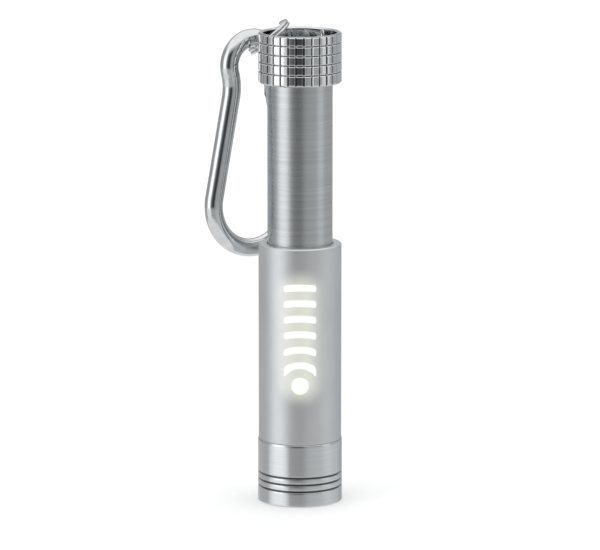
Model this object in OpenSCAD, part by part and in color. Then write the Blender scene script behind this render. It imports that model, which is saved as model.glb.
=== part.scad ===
// Telescoping key light: a painted clear sleeve with a lit mark, an inner tube that pulls out of it,
// a knurled battery cap, a split ring through the cap's wall and a small sprung carabiner.
// Millimetres. +Z is up, the origin is the centre of the base's lower face, and -Y faces the mark.
// The light is drawn standing, pulled out to its stop, with the carabiner hanging on the left.

/* [Cells] */
// Diameter of one button cell
cell_d = 11.6; // [9:0.1:16]
// Height of one button cell
cell_h = 5.4; // [3:0.1:6]
// Diameter of a cell's raised negative cap
cell_cap_d = 9.2; // [6:0.1:10]
// Height of a cell's raised negative cap
cell_cap_h = 0.4; // [0.2:0.1:0.8]

/* [Inner tube] */
// Room between a cell and the tube's bore, on each side
cell_room = 0.45; // [0.3:0.05:0.8]
// Wall of the inner tube
tube_wall = 0.8; // [0.6:0.1:1.2]
// Thickness of the insulating film round the cells
film_t = 0.25; // [0.1:0.05:0.3]
// Height of the collar that stops and guides the tube
collar_h = 5; // [3.5:0.5:8]
// Thickness of the collar on the tube
collar_t = 0.7; // [0.6:0.05:1.5]

/* [Sleeve] */
// Length of the sleeve above the base
sleeve_l = 43.1; // [34:0.2:60]
// Wall of the sleeve round its main bore
sleeve_wall = 1.15; // [0.8:0.05:2]
// Height of the guide lip at the mouth
lip_h = 3; // [2:0.5:6]
// Chamfer at the mouth's outer edge
mouth_chamfer = 0.3; // [0.1:0.1:0.6]

/* [Mark] */
// Width of the lit mark
mark_w = 7; // [3:0.5:8]
// Number of curved bars in the mark
mark_bars = 6; // [2:1:8]
// Height of one bar of the mark
bar_h = 1.5; // [0.8:0.1:2]
// Distance from one bar to the next
bar_pitch = 3.4; // [2.2:0.1:4]
// Radius of the mark's dot
dot_r = 1.9; // [1:0.1:2.5]
// Height of the dot's centre above the base's seam
mark_lift = 13.2; // [8:0.1:16]
// Depth to which the paint is cut away
mark_depth = 0.15; // [0.1:0.05:0.3]

/* [Base] */
// Height of the base bezel
base_h = 13.7; // [10:0.1:18]
// How far the bezel stands proud of the sleeve
base_step = 0.15; // [0:0.05:0.5]
// Wall of the bezel round the sleeve's spigot
bezel_wall = 0.7; // [0.6:0.05:1.5]
// Number of turned grooves
groove_count = 3; // [0:1:4]
// Height of the lowest groove
groove_z = 3.4; // [1.5:0.1:5]
// Distance from one groove to the next
groove_pitch = 1.5; // [1:0.1:2.5]
// Width of a groove
groove_w = 0.5; // [0.2:0.05:0.8]
// Depth of a groove
groove_depth = 0.25; // [0.1:0.05:0.4]
// Height of the bezel's lip under the lens
lens_lip = 1.1; // [0.5:0.1:1.5]
// Thickness of the front lens
lens_t = 2.2; // [1:0.1:3]
// Section radius of the lens seal
seal_r = 0.35; // [0.25:0.05:0.5]
// Thickness of the reflector's flange
flange_t = 0.8; // [0.5:0.1:1.2]
// Height of the reflector's cone
cone_h = 5.6; // [3:0.1:6]

// Room between the reflector and the tube pushed home
park_gap = 3.4; // [1:0.1:6]

/* [Light] */
// Body radius of the light-emitting diode
led_r = 2.5; // [1.5:0.1:3]
// Length of the diode from its flange to its tip
led_l = 8.6; // [6:0.1:10]
// How far the diode stands out of the tube
led_out = 4.6; // [3:0.1:5]
// Thickness of the circuit board
board_t = 1; // [0.6:0.1:1.6]
// Thickness of the board's contact
contact_t = 0.4; // [0.2:0.05:0.6]
// Room for the tail spring over the cells
spring_room = 5.9; // [4:0.1:8]

/* [Head cap] */
// Height of the head cap
head_h = 10.9; // [9.5:0.1:16]
// Wall of the cap round the tube
head_wall = 1.95; // [1.6:0.05:3]
// Wall of the cap round its upper hollow
rim_wall = 1; // [0.8:0.1:1.4]
// Depth of the upper hollow at its wall
hollow_depth = 5.0; // [4.8:0.1:6]
// Extra depth of the hollow at its middle
dish = 0.4; // [0:0.1:0.8]
// Depth of the socket that takes the tube
socket_h = 4.2; // [3.6:0.1:6]
// Number of level grooves round the cap
groove_rows = 4; // [1:1:4]
// Height of one band of knurling, measured down from the rim
band_h = 2.1; // [1.4:0.1:2.2]
// Number of upright grooves round the cap
flute_count = 32; // [20:2:48]
// Width of a knurling groove
knurl_w = 0.45; // [0.3:0.05:0.7]
// Depth of a knurling groove
knurl_depth = 0.25; // [0.1:0.05:0.35]
// Rise of the cap for each turn on its thread
thread_pitch = 0.75; // [0.5:0.05:1]

/* [Split ring] */
// Outside diameter of the split ring
ring_d = 10.8; // [10.4:0.1:11]
// Diameter of the ring's wire
wire_d = 0.7; // [0.5:0.05:0.8]
// Tilt of the ring from level
ring_tilt = 39.3; // [38:0.1:40]
// Bearing of the ring's hole round the cap
hole_bearing = 160; // [158:1:162]
// Depth of the ring's hole below the rim
hole_depth = 3.2; // [2.9:0.1:3.2]
// Diameter of the ring's hole
hole_d = 3.4; // [3.2:0.1:3.8]

/* [Carabiner] */
// Overall length of the carabiner
carabiner_l = 50; // [44:0.5:62]
// Diameter of the carabiner's bar
bar_d = 4; // [3:0.1:4.4]
// Radius of the small end, to the middle of the bar
eye_r = 5.8; // [5:0.1:7]
// Half width at the waist, to the middle of the bar
waist_x = 5.2; // [4.6:0.1:6]
// Radius of the waist's bend
waist_r = 12; // [8:0.5:16]
// Radius of the wide end, to the middle of the bar
wide_r = 9.9; // [8:0.1:13]
// Diameter of the gate
gate_d = 3.6; // [2.8:0.1:4]
// Turn of the carabiner's plane from the front
carabiner_turn = 33; // [30:1:36]

/* [Fits] */
// Clearance of a sliding or turning piece, on each side
slide_gap = 0.1; // [0.05:0.01:0.15]
// Clearance of a pin in its hole, on each side
pin_gap = 0.05; // [0.02:0.01:0.08]
// Space left where two pieces come to rest
rest_gap = 0.1; // [0.05:0.05:0.2]
// Space round the hanging ring and carabiner
hang_gap = 0.38; // [0.35:0.01:0.6]

/* [Hidden] */
$fn = 96;

cell_count = 4;
eps = 0.01;
far = 60;

// Radii, worked out from the cells outwards
tube_ir = cell_d / 2 + cell_room;
tube_r = tube_ir + tube_wall;
bore_r = tube_r + collar_t + slide_gap;
sleeve_r = bore_r + sleeve_wall;
base_r = sleeve_r + base_step;
spigot_r = base_r - bezel_wall;
head_r = tube_r + head_wall;
hollow_r = head_r - rim_wall;
cap_seal_r = 0.4;
cap_seat_h = 0.95;

// The drag ring's groove in the collar
seat_r = tube_r + 0.3;
seat_h = 0.6;

// Heights of the base and of what it holds
lens_r = bore_r - slide_gap;
lens_overlap = 0.8;
foot_chamfer = 0.4;
seam_chamfer = 0.15;
lens_top = lens_lip + lens_t;
step_z = lens_top + 2 * seal_r;
spigot_z = step_z + flange_t;
cone_top = spigot_z + cone_h;
cone_wall = 0.5;
throat_gap = 0.7;

// Heights of the sliding tube, pulled out to its stop
sleeve_top = base_h + sleeve_l;
tube_z = sleeve_top - lip_h - rest_gap - collar_h;
parked_z = cone_top + park_gap;
travel = tube_z - parked_z;
head_z = sleeve_top + rest_gap + travel;
rim_z = head_z + head_h;
ceiling_z = head_z + socket_h;
tube_top = ceiling_z - rest_gap;

// Heights of the cells and the light engine
tail_z = ceiling_z - pin_gap - contact_t;
cells_top = ceiling_z - spring_room - contact_t;
cells_z = cells_top - cell_count * cell_h;
board_z = cells_z - contact_t - board_t;
led_seat = tube_z - led_out + led_l;
led_flange = 0.4;
led_flange_h = 1;

// The hole in the cap's wall, and the ring that hangs in it
coil_gap = 0.02;
ring_r = (ring_d - wire_d) / 2;
ring_hole_angle = -109.5;
hole_r = hole_d / 2;
wall_mid = head_r - rim_wall / 2;
hole_at = [wall_mid * cos(hole_bearing), wall_mid * sin(hole_bearing), rim_z - hole_depth];
ring_across = [cos(ring_tilt), 0, sin(ring_tilt)];
ring_at = hole_at - ring_r * (cos(ring_hole_angle) * ring_across + sin(ring_hole_angle) * [0, 1, 0]);
ring_low = ring_at - ring_r * ring_across;

// The carabiner's plane, just clear of the cap, and its small end, hung on the ring's low side
bar_r = bar_d / 2;
plane_along = [cos(carabiner_turn), sin(carabiner_turn), 0];
plane_out = [-sin(carabiner_turn), cos(carabiner_turn), 0];
plane_gap = max(head_r, sleeve_r) + bar_r + hang_gap;
eye_shift = -0.26;
eye_along = ring_low * plane_along + eye_shift;
eye_z = ring_low[2] + bar_r + wire_d + coil_gap + hang_gap - eye_r;
eye_at = eye_along * plane_along + plane_gap * plane_out + [0, 0, eye_z];

// The carabiner's outline in its own plane, from the middle of its small end
wide_at = [0, eye_r + wide_r + bar_d - carabiner_l];
waist_drop = sqrt(pow(eye_r + waist_r, 2) - pow(waist_x + waist_r, 2));
waist_at = [waist_x + waist_r, -waist_drop];
eye_end = atan2(waist_drop, waist_x + waist_r);
waist_to_wide = wide_at - waist_at;
lean = asin((waist_r + wide_r) / norm(waist_to_wide));
leg_angle = atan2(waist_to_wide[1], waist_to_wide[0]) + lean;
leg_side = [cos(leg_angle - 90), sin(leg_angle - 90)];
leg_top = waist_at + waist_r * leg_side;
leg_foot = wide_at - wide_r * leg_side;
leg_l = norm(leg_foot - leg_top);

// The gate and its hinge
gate_r = gate_d / 2;
tab_t = 1.4;
tab_r = 1.6;
cheek_r = 1.9;
swing_gap = 0.15;
rivet_r = 0.7;
rivet_head_r = 1.2;
rivet_head_t = 0.25;
cheek_half = gate_r - rivet_head_t;
lap_l = 2.4;
lap_room = 0.2;
nose_root = 0.5;
plunger_r = 1.05;
plunger_l = 1.5;
plunger_top = tab_r + 0.2;
gate_bore_l = 8.6;
gate_wire_d = 0.25;
bend_steps = 12;

// A point at radius r and angle a
function polar(r, a) = [r * cos(a), r * sin(a)];

// The same point with its first coordinate turned round
function mirrored(p) = [-p[0], p[1]];

// Points along an arc about c, from angle a0 up to but not at a1
function arc(c, r, a0, a1, n) = [for (i = [0 : n - 1]) c + polar(r, a0 + (a1 - a0) * i / n)];

// The angle that a length takes up along a circle of radius r
function degrees_along(length, r) = length / r * 180 / PI;

// A round wire swept along a list of points: at(i) gives the centre, out(i) and up(i) the section's axes
module wire(centres, outs, ups, r, sides) {
    count = len(centres);
    points = [for (i = [0 : count - 1]) for (k = [0 : sides - 1])
        centres[i] + r * (cos(360 * k / sides) * outs[i] + sin(360 * k / sides) * ups[i])];
    walls = [for (i = [0 : count - 2]) for (k = [0 : sides - 1])
        let (n = (k + 1) % sides)
        [i * sides + k, i * sides + n, (i + 1) * sides + n, (i + 1) * sides + k]];
    start_cap = [for (k = [sides - 1 : -1 : 0]) k];
    end_cap = [for (k = [0 : sides - 1]) (count - 1) * sides + k];
    polyhedron(points, concat(walls, [start_cap, end_cap]), convexity = 10);
}

// A coil spring along +Z whose radius runs evenly from r0 to r1
module coil(r0, r1, height, turns, wire_r, steps, sides) {
    count = turns * steps;
    rise = height - 2 * wire_r;
    angles = [for (i = [0 : count]) 360 * i / steps];
    wire([for (i = [0 : count]) let (r = r0 + (r1 - r0) * i / count)
            [r * cos(angles[i]), r * sin(angles[i]), wire_r + rise * i / count]],
        [for (a = angles) [cos(a), sin(a), 0]],
        [for (a = angles) [0, 0, 1]], wire_r, sides);
}

module o_ring(r, section) {
    rotate_extrude() translate([r, 0]) circle(section, $fn = 32);
}

module ring_solid(outer, inner, height) {
    difference() {
        cylinder(r = outer, h = height);
        translate([0, 0, -eps]) cylinder(r = inner, h = height + 2 * eps);
    }
}

// Puts its children in the carabiner's plane: X along the plane, Y up, Z towards the tube
module in_carabiner() {
    translate(eye_at) rotate([0, 0, carabiner_turn]) rotate([90, 0, 0]) children();
}

// Puts its children at the gate's hinge, with the gate running along -Y and +X outwards
module at_hinge() {
    in_carabiner() translate([leg_top[0], leg_top[1], 0]) rotate(leg_angle + 90) children();
}

// The mark: a dot with curved bars over it, like light thrown upwards
module mark_outline() {
    circle(dot_r);
    for (i = [1 : mark_bars]) intersection() {
        difference() {
            circle(dot_r + i * bar_pitch);
            circle(dot_r + i * bar_pitch - bar_h);
        }
        translate([-mark_w / 2, 0]) square([mark_w, far]);
    }
}

// The mark carried back through the sleeve's front skin
module mark_prism() {
    translate([0, 0, base_h + mark_lift]) rotate([90, 0, 0]) linear_extrude(far) mark_outline();
}

// Turned aluminium bezel, with grooves, a lip under the lens and a bore for the sleeve's spigot
module base_bezel() {
    lens_bore = lens_r + pin_gap;
    opening_r = lens_r - lens_overlap;
    color("lightgray") rotate_extrude() polygon(concat(
        [[opening_r, 0], [base_r - foot_chamfer, 0], [base_r, foot_chamfer]],
        [for (i = [0 : 1 : groove_count - 1]) let (z = groove_z + i * groove_pitch)
            each [[base_r, z - groove_w / 2], [base_r - groove_depth, z - groove_w / 4],
                [base_r - groove_depth, z + groove_w / 4], [base_r, z + groove_w / 2]]],
        [[base_r, base_h - seam_chamfer], [base_r - seam_chamfer, base_h], [spigot_r, base_h],
            [spigot_r, step_z], [lens_bore, step_z], [lens_bore, lens_lip], [opening_r, lens_lip]]));
}

// Flat clear lens on the bezel's lip
module front_lens() {
    color("aliceblue") translate([0, 0, lens_lip]) cylinder(r = lens_r, h = lens_t);
}

// Rubber ring between the lens and the reflector's flange
module lens_seal() {
    color("dimgray") translate([0, 0, lens_top + seal_r]) o_ring(lens_r - 2 * seal_r, seal_r);
}

// Bright cup that the diode stands in when the tube is pushed home
module reflector() {
    mouth_r = lens_r - lens_overlap;
    throat_r = led_r + throat_gap;
    flange_r = spigot_r - pin_gap;
    color("whitesmoke") translate([0, 0, step_z]) rotate_extrude() polygon([
        [mouth_r, 0], [flange_r, 0], [flange_r, flange_t], [mouth_r + cone_wall, flange_t],
        [throat_r + cone_wall, flange_t + cone_h], [throat_r, flange_t + cone_h]]);
}

// Clear sleeve painted satin silver, with a guide lip at its mouth and a spigot for the bezel
module sleeve() {
    color("silver") difference() {
        rotate_extrude() polygon([
            [bore_r, spigot_z], [spigot_r, spigot_z], [spigot_r, base_h], [sleeve_r, base_h],
            [sleeve_r, sleeve_top - mouth_chamfer], [sleeve_r - mouth_chamfer, sleeve_top],
            [tube_r + slide_gap, sleeve_top], [tube_r + slide_gap, sleeve_top - lip_h],
            [bore_r, sleeve_top - lip_h]]);
        lit_mark_solid();
    }
}

module lit_mark_solid() {
    intersection() {
        translate([0, 0, base_h]) ring_solid(sleeve_r, sleeve_r - mark_depth, sleeve_l);
        mark_prism();
    }
}

// The places where the paint is cut away and the clear sleeve glows
module lit_mark() {
    color("white") lit_mark_solid();
}

// Brushed metal tube that slides in the sleeve and holds the cells
module inner_tube() {
    color("gainsboro") translate([0, 0, tube_z]) ring_solid(tube_r, tube_ir, tube_top - tube_z);
}

// Collar on the tube's foot: it stops the pull under the lip and carries the drag ring
module stop_collar() {
    color("goldenrod") translate([0, 0, tube_z]) difference() {
        ring_solid(tube_r + collar_t, tube_r, collar_h);
        translate([0, 0, (collar_h - seat_h) / 2]) ring_solid(tube_r + 2 * collar_t, seat_r, seat_h);
    }
}

// Rubber ring in the collar's groove that holds the tube where it is put
module drag_ring() {
    section = (bore_r - slide_gap / 2 - seat_r) / 2;
    color("dimgray") translate([0, 0, tube_z + collar_h / 2]) o_ring(seat_r + section, section);
}

// Plastic plug in the tube's foot that holds the diode and the board
module led_carrier() {
    carrier_r = tube_ir - pin_gap;
    carrier_wall = 0.75;
    rim_h = 1.2;
    color("whitesmoke") translate([0, 0, tube_z]) difference() {
        cylinder(r = carrier_r, h = board_z - tube_z);
        translate([0, 0, -eps]) cylinder(r = led_r + slide_gap, h = led_l);
        translate([0, 0, led_seat - tube_z - led_flange_h])
            cylinder(r = led_r + led_flange + slide_gap, h = far);
        translate([0, 0, board_z - tube_z - rim_h]) cylinder(r = carrier_r - carrier_wall, h = far);
    }
}

// White diode facing down, with its two leads up to the board
module led() {
    lead_r = 0.25;
    lead_x = 1.27;
    color("ivory") {
        translate([0, 0, led_seat - led_l + led_r]) sphere(led_r);
        translate([0, 0, led_seat - led_l + led_r]) cylinder(r = led_r, h = led_l - led_r);
        translate([0, 0, led_seat - led_flange_h]) cylinder(r = led_r + led_flange, h = led_flange_h);
        for (x = [-lead_x, lead_x])
            translate([x, 0, led_seat - eps]) cylinder(r = lead_r, h = board_z - led_seat + eps);
    }
}

// Round board on the carrier
module circuit_board() {
    color("seagreen") translate([0, 0, board_z]) cylinder(r = tube_ir - slide_gap, h = board_t);
}

// Chip resistor under the board
module resistor() {
    size = [2, 1.2, 0.6];
    color("black") translate([led_r + slide_gap, -size[1] / 2, board_z - size[2]]) cube(size);
}

// Sprung plate that meets the first cell
module front_contact() {
    contact_r = cell_cap_d / 3;
    color("gold") translate([0, 0, board_z + board_t]) cylinder(r = contact_r, h = contact_t);
}

// Insulating film rolled round the cells
module cell_film() {
    film_z = board_z + board_t + pin_gap;
    color("darkgreen") translate([0, 0, film_z])
        ring_solid(cell_d / 2 + pin_gap + film_t, cell_d / 2 + pin_gap, cells_top - film_z);
}

// One button cell: a steel can with a raised negative cap, negative side down
module button_cell(i) {
    can_r = cell_d / 2;
    bevel = 0.3;
    color("lightsteelblue") translate([0, 0, cells_z + i * cell_h]) {
        rotate_extrude() polygon([
            [0, cell_cap_h], [can_r - bevel, cell_cap_h], [can_r, cell_cap_h + bevel],
            [can_r, cell_h - bevel], [can_r - bevel, cell_h], [0, cell_h]]);
        cylinder(r = cell_cap_d / 2, h = cell_cap_h);
    }
}

// Contact disc under the cap's web
module tail_contact() {
    color("gold") translate([0, 0, tail_z]) cylinder(r = cell_d / 2 - film_t - hang_gap, h = contact_t);
}

// Conical spring that presses the cells down
module tail_spring() {
    low_r = 1.9;
    spring_wire_r = 0.3;
    high_r = cell_d / 2 - 5 * spring_wire_r;
    color("silver") translate([0, 0, cells_top + coil_gap])
        coil(low_r, high_r, tail_z - cells_top - 2 * coil_gap, 4, spring_wire_r, 24, 8);
}

// Chrome cap: knurled outside, hollow above for the ring, socket below for the tube
module head_cap() {
    edge = 0.3;
    inner_edge = 0.2;
    socket_r = tube_r + pin_gap;
    color("gainsboro") translate([0, 0, head_z]) difference() {
        rotate_extrude() polygon(concat(
            [[socket_r + 2 * cap_seal_r, 0], [head_r - edge, 0], [head_r, edge]],
            [for (i = [groove_rows : -1 : 1]) let (z = head_h - i * band_h)
                each [[head_r, z - knurl_w / 2], [head_r - knurl_depth, z], [head_r, z + knurl_w / 2]]],
            [[head_r, head_h - edge], [head_r - edge, head_h], [hollow_r + inner_edge, head_h],
                [hollow_r, head_h - inner_edge], [hollow_r, head_h - hollow_depth],
                [0, head_h - hollow_depth - dish], [0, socket_h], [socket_r, socket_h],
                [socket_r, cap_seat_h], [socket_r + 2 * cap_seal_r, cap_seat_h]]));
        for (k = [0 : flute_count - 1]) rotate((k + 0.5) * 360 / flute_count)
            translate([head_r, 0, -eps]) linear_extrude(head_h + 2 * eps)
                polygon([[-knurl_depth, 0], [eps, knurl_w / 2], [1, knurl_w / 2], [1, -knurl_w / 2],
                    [eps, -knurl_w / 2]]);
        translate([0, 0, head_h - hole_depth]) rotate([0, 90, hole_bearing])
            translate([0, 0, hollow_r - rim_wall]) cylinder(r = hole_r, h = 3 * rim_wall);
    }
}

// Rubber ring between the cap and the tube
module cap_seal() {
    color("dimgray") translate([0, 0, head_z + cap_seat_h - cap_seal_r])
        o_ring(tube_r + pin_gap + cap_seal_r, cap_seal_r);
}

// Steel ring of nearly two turns of wire, with one short crossover
module split_ring() {
    steps = 60;
    crossover = 70;
    half_cross = 20;
    half_rise = (wire_d + coil_gap) / 2;
    angles = [for (i = [0 : steps * 2]) half_cross + (720 - 2 * half_cross) * i / (steps * 2)];
    function rise(a) = let (t = min(1, max(0, (a - 360 + half_cross) / (2 * half_cross))))
        half_rise * (2 * t * t * (3 - 2 * t) - 1);
    color("silver") translate(ring_at) rotate([0, -ring_tilt, 0]) rotate(crossover)
        wire([for (a = angles) [ring_r * cos(a), ring_r * sin(a), rise(a)]],
            [for (a = angles) [cos(a), sin(a), 0]],
            [for (a = angles) [0, 0, 1]], wire_d / 2, 10);
}

// Bent bar of the carabiner: small end, waist, spine, wide end and the nose that stops the gate
module carabiner_frame() {
    tilt = leg_angle + 90;
    bar_end = 180 + tilt - degrees_along(cheek_r + rest_gap + swing_gap, waist_r);
    path = concat(
        arc(waist_at, waist_r, bar_end, 180 - eye_end, 4),
        arc([0, 0], eye_r, -eye_end, 180 + eye_end, 2 * bend_steps),
        arc(mirrored(waist_at), waist_r, eye_end, -tilt, 5),
        [mirrored(leg_top)],
        arc(wide_at, wide_r, 180 - tilt, 360 + tilt, 2 * bend_steps),
        [leg_foot]);
    last = len(path) - 1;
    runs = [for (i = [0 : last]) path[min(i + 1, last)] - path[max(i - 1, 0)]];
    color("lightgray") in_carabiner()
        wire([for (p = path) [p[0], p[1], 0]],
            [for (t = runs) [t[1], -t[0], 0] / norm(t)],
            [for (t = runs) [0, 0, 1]], bar_r, 16);
    color("lightgray") at_hinge() difference() {
        linear_extrude(tab_t, center = true) {
            circle(tab_r, $fn = 48);
            translate([-tab_r, 0]) square([2 * tab_r, 2 * tab_r]);
        }
        cylinder(r = rivet_r + pin_gap, h = far, center = true, $fn = 48);
    }
    color("lightgray") at_hinge() intersection() {
        translate([0, -leg_l - nose_root, 0]) rotate([-90, 0, 0])
            cylinder(r = gate_r, h = nose_root + lap_l - lap_room, $fn = 48);
        translate([rest_gap / 2, -leg_l - far / 2, -far / 2]) cube(far);
    }
}

// Hollow gate with two cheeks on the frame's tab and a lap that closes on the nose
module gate() {
    shoulder = cheek_r + 2 * swing_gap;
    color("silver") at_hinge() difference() {
        union() {
            rotate([90, 0, 0]) cylinder(r = gate_r, h = leg_l - swing_gap, $fn = 48);
            intersection() {
                translate([0, cheek_r, 0]) rotate([90, 0, 0]) cylinder(r = gate_r, h = 2 * cheek_r, $fn = 48);
                cylinder(r = cheek_r, h = far, center = true, $fn = 48);
            }
        }
        linear_extrude(tab_t + 2 * slide_gap, center = true) {
            circle(tab_r + swing_gap, $fn = 48);
            translate([-far / 2, 0]) square([far, far]);
        }
        for (s = [0, 180]) rotate([0, s, 0]) translate([-far / 2, -shoulder, cheek_half]) cube(far);
        cylinder(r = rivet_r, h = far, center = true, $fn = 48);
        translate([0, -tab_r, 0]) rotate([90, 0, 0])
            cylinder(r = plunger_r + slide_gap, h = gate_bore_l - tab_r, $fn = 48);
        translate([-rest_gap / 2, -far - leg_l + lap_l, -far / 2]) cube(far);
    }
}

// Rivet through the cheeks, with a flat head on each side
module gate_rivet() {
    color("gray") at_hinge() {
        cylinder(r = rivet_r, h = 2 * cheek_half, center = true, $fn = 48);
        for (s = [0, 180]) rotate([0, s, 0]) translate([0, 0, cheek_half])
            cylinder(r = rivet_head_r, h = rivet_head_t, $fn = 48);
    }
}

// Plunger in the gate that bears on the frame's tab
module gate_plunger() {
    color("gray") at_hinge() translate([0, -plunger_top, 0]) rotate([90, 0, 0])
        cylinder(r = plunger_r, h = plunger_l, $fn = 48);
}

// Spring behind the plunger
module gate_spring() {
    start = plunger_top + plunger_l + coil_gap;
    coil_r = plunger_r - slide_gap - gate_wire_d / 2;
    color("gray") at_hinge() translate([0, -start, 0]) rotate([90, 0, 0])
        coil(coil_r, coil_r, gate_bore_l - start - coil_gap, 7, gate_wire_d / 2, 14, 6);
}

base_bezel();
front_lens();
lens_seal();
reflector();
sleeve();
lit_mark();
inner_tube();
stop_collar();
drag_ring();
led_carrier();
led();
circuit_board();
resistor();
front_contact();
cell_film();
button_cell(0);  // cell_1
button_cell(1);  // cell_2
button_cell(2);  // cell_3
button_cell(3);  // cell_4
tail_contact();
tail_spring();
head_cap();
cap_seal();
split_ring();
carabiner_frame();
gate();
gate_rivet();
gate_plunger();
gate_spring();
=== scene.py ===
import math

import bmesh
import bpy
import numpy as np
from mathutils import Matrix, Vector


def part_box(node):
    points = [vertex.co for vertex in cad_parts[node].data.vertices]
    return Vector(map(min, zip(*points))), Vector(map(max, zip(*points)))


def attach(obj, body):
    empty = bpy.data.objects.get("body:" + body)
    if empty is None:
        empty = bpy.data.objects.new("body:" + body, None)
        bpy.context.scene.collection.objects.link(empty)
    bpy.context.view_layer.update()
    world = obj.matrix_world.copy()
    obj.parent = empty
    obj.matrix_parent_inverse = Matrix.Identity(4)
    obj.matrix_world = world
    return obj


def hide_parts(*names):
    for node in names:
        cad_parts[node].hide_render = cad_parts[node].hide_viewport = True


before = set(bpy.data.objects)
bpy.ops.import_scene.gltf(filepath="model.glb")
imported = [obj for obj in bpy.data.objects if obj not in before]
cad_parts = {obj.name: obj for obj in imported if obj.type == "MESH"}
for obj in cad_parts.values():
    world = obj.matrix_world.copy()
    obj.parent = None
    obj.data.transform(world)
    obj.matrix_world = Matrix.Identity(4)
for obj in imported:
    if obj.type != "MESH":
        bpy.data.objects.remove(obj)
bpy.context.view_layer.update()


# ---- Camera, studio and floor --------------------------------------------------------------------
# A long lens a metre away, looking down a little on a light that stands on a pale table. The
# studio is a grey room with a tall soft light on the left, a dark gap behind the lens and a bright
# ceiling, which is what polished round metal shows as upright bands.

def linear(colour):
    """Turns an sRGB hex colour into linear red, green, blue and 1: low values are divided by 12.92,
    the rest follow the 2.4 power."""
    parts = np.array([int(colour[i:i + 2], 16) for i in (1, 3, 5)]) / 255
    low = parts / 12.92
    high = ((parts + 0.055) / 1.055) ** 2.4
    return (*np.where(parts <= 0.04045, low, high), 1.0)


def add(tree, kind, inputs=None, **settings):
    """Adds one node, sets its own settings, then fills its inputs: a socket is linked, a value is set."""
    node = tree.nodes.new(kind)
    for name, value in settings.items():
        setattr(node, name, value)
    for name, value in (inputs or {}).items():
        if isinstance(value, bpy.types.NodeSocket):
            tree.links.new(value, node.inputs[name])
        else:
            node.inputs[name].default_value = value
    return node


MM = 0.001
AIM = Vector((0, 0, 49.6 * MM))
CAMERA_PITCH = math.radians(10.8)
CAMERA_AWAY = 1.0
lens = bpy.data.cameras.new("camera")
lens.lens = 277
lens.sensor_width = 36
lens.clip_end = 20
camera = bpy.data.objects.new("camera", lens)
camera.location = AIM + CAMERA_AWAY * Vector((0, -math.cos(CAMERA_PITCH), math.sin(CAMERA_PITCH)))
camera.rotation_euler = (math.pi / 2 - CAMERA_PITCH, 0, 0)
bpy.context.scene.collection.objects.link(camera)
bpy.context.scene.camera = camera
bpy.context.scene.view_settings.view_transform = "Standard"

studio = bpy.data.worlds.new("studio")
bpy.context.scene.world = studio
studio.use_nodes = True
room = studio.node_tree
room.nodes.clear()
toward = add(room, "ShaderNodeTexCoord")
ways = add(room, "ShaderNodeSeparateXYZ", {"Vector": toward.outputs["Generated"]})
# Bearing round the room: 0 behind the camera, negative to its left, in half turns
front = add(room, "ShaderNodeMath", {0: ways.outputs["Y"], 1: -1.0}, operation="MULTIPLY")
bearing = add(room, "ShaderNodeMath", {0: ways.outputs["X"], 1: front.outputs[0]}, operation="ARCTAN2")
around = add(room, "ShaderNodeMapRange", {0: bearing.outputs[0], 1: -math.pi, 2: math.pi})


def wall(greys):
    """A ramp of greys round the room from (bearing in degrees, grey) stops, eased between them."""
    ramp_node = add(room, "ShaderNodeValToRGB", {"Fac": around.outputs[0]})
    ramp_node.color_ramp.interpolation = "EASE"
    stops = ramp_node.color_ramp.elements
    for degrees, grey in greys[1:-1]:
        stops.new((degrees + 180) / 360)
    for stop, (degrees, grey) in zip(stops, greys):
        stop.color = (grey, grey * 1.015, grey * 1.03, 1)
    return ramp_node.outputs["Color"]


upper_wall = wall((
    (-180, 0.52), (-120, 0.42), (-92, 0.44), (-82, 0.95), (-73, 1.6), (-50, 1.65), (-42, 0.85), (-33, 0.34),
    (-22, 0.13), (-10, 0.06), (3, 0.06), (14, 0.32), (26, 0.45), (60, 0.47), (68, 0.84), (84, 0.86),
    (95, 0.48), (180, 0.52)))
lower_wall = wall((
    (-180, 0.58), (-100, 0.52), (-88, 0.95), (-70, 1.06), (-40, 1.06), (-27, 0.50), (8, 0.48), (25, 0.60),
    (60, 0.66), (90, 0.76), (122, 0.66), (140, 0.48), (180, 0.5)))
# How far up a direction points, from -1 to 1, where one part of the room gives way to the next
LOWER_TO_UPPER = (-0.218, -0.148)
BENCH_TO_WALL = (-0.5, -0.36)
WALL_TO_CEILING = (0.35, 0.8)
low = add(room, "ShaderNodeMapRange",
          {0: ways.outputs["Z"], 1: LOWER_TO_UPPER[0], 2: LOWER_TO_UPPER[1], 3: 1.0, 4: 0.0},
          interpolation_type="SMOOTHSTEP")
walls = add(room, "ShaderNodeMix", {"Factor": low.outputs[0], "A": upper_wall, "B": lower_wall},
            data_type="RGBA")
bench = add(room, "ShaderNodeMapRange",
            {0: ways.outputs["Z"], 1: BENCH_TO_WALL[0], 2: BENCH_TO_WALL[1], 3: 1.0, 4: 0.0},
            interpolation_type="SMOOTHSTEP")
over_bench = add(room, "ShaderNodeMix", {"Factor": bench.outputs[0], "A": walls.outputs["Result"],
                                         "B": (0.95, 0.95, 0.95, 1)}, data_type="RGBA")
height = add(room, "ShaderNodeMapRange",
             {0: ways.outputs["Z"], 1: WALL_TO_CEILING[0], 2: WALL_TO_CEILING[1]},
             interpolation_type="SMOOTHSTEP")
ceiling = add(room, "ShaderNodeMix", {"Factor": height.outputs[0], "A": over_bench.outputs["Result"],
                                      "B": (1.2, 1.2, 1.2, 1)}, data_type="RGBA")
room_light = add(room, "ShaderNodeBackground", {"Color": ceiling.outputs["Result"], "Strength": 1.0})
plain = add(room, "ShaderNodeBackground", {"Color": (1, 1, 1, 1), "Strength": 1.0})
path = add(room, "ShaderNodeLightPath")
seen = add(room, "ShaderNodeMixShader", {0: path.outputs["Is Camera Ray"], 1: room_light.outputs[0],
                                         2: plain.outputs[0]})
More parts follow.
